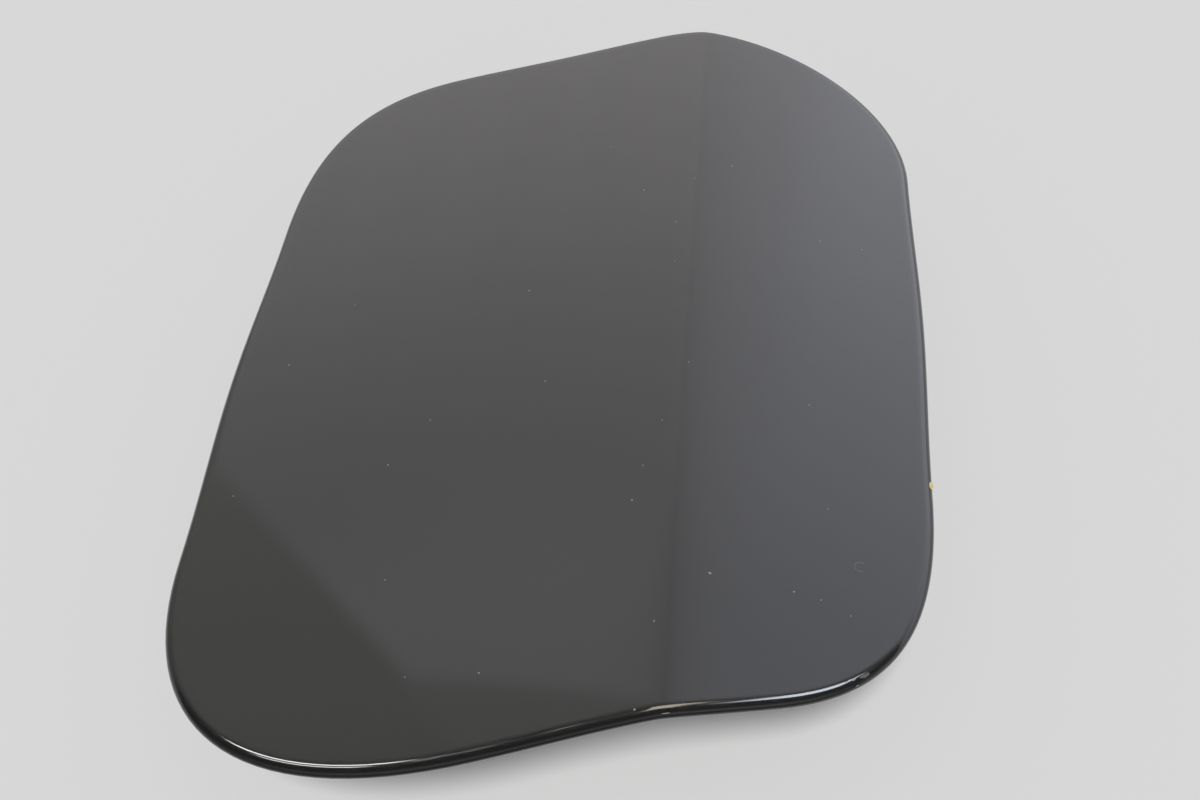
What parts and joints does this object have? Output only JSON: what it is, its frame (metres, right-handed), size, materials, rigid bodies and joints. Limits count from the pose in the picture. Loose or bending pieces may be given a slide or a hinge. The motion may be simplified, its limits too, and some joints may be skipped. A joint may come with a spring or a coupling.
{
  "type": "car fuel door",
  "caption": "Creased, crowned steel fuel door hemmed over an inner panel, with a sprung gooseneck hinge, latch striker, rubber buffers and cap holder.",
  "frame": {"origin": "centre of the two bolt holes on the hinge bracket's mounting face, straight under the hinge pin", "axes": "+Z out of the door's outer face, +Y along the crease towards the hinge, +X across the crease to the narrow face"},
  "size_m": [0.1426, 0.2235, 0.04],
  "materials": {
    "body_paint": "glossy black body paint under clear lacquer, with small chips and dust specks",
    "primer_coat": "satin black dip primer",
    "sealer": "painted-over seam sealer, softly uneven",
    "rubber": "matt black moulded rubber",
    "zinc_plate": "bright zinc plate, slightly dulled",
    "spring_steel": "oiled dark spring steel",
    "natural_nylon": "natural nylon",
    "black_plastic": "fine-grained black plastic"
  },
  "bodies": {
    "hinge_base": {"hinge_bracket": "zinc_plate", "hinge_pin": "zinc_plate", "pin_clip": "spring_steel", "thrust_washers": "spring_steel", "spring_sleeve": "natural_nylon", "torsion_spring": "spring_steel", "stop_buffer": "rubber"},
    "door": {"outer_skin": "body_paint", "inner_panel": "body_paint", "seam_sealer": "sealer", "bump_stops": "rubber", "striker": "zinc_plate", "striker_sleeve": "natural_nylon", "striker_rivets": "zinc_plate", "cap_holder": "black_plastic", "cap_holder_screws": "zinc_plate", "hinge_arm": "primer_coat", "arm_screws": "zinc_plate", "arm_weld_nuts": "zinc_plate", "pivot_bushes": "natural_nylon"}
  },
  "joints": [
    {"name": "door_hinge", "type": "hinge", "parent": "hinge_base", "child": "door", "pos_m": [0, 0, 0.01], "axis": [-1, 0, 0], "range_deg": [0, 80]}
  ]
}
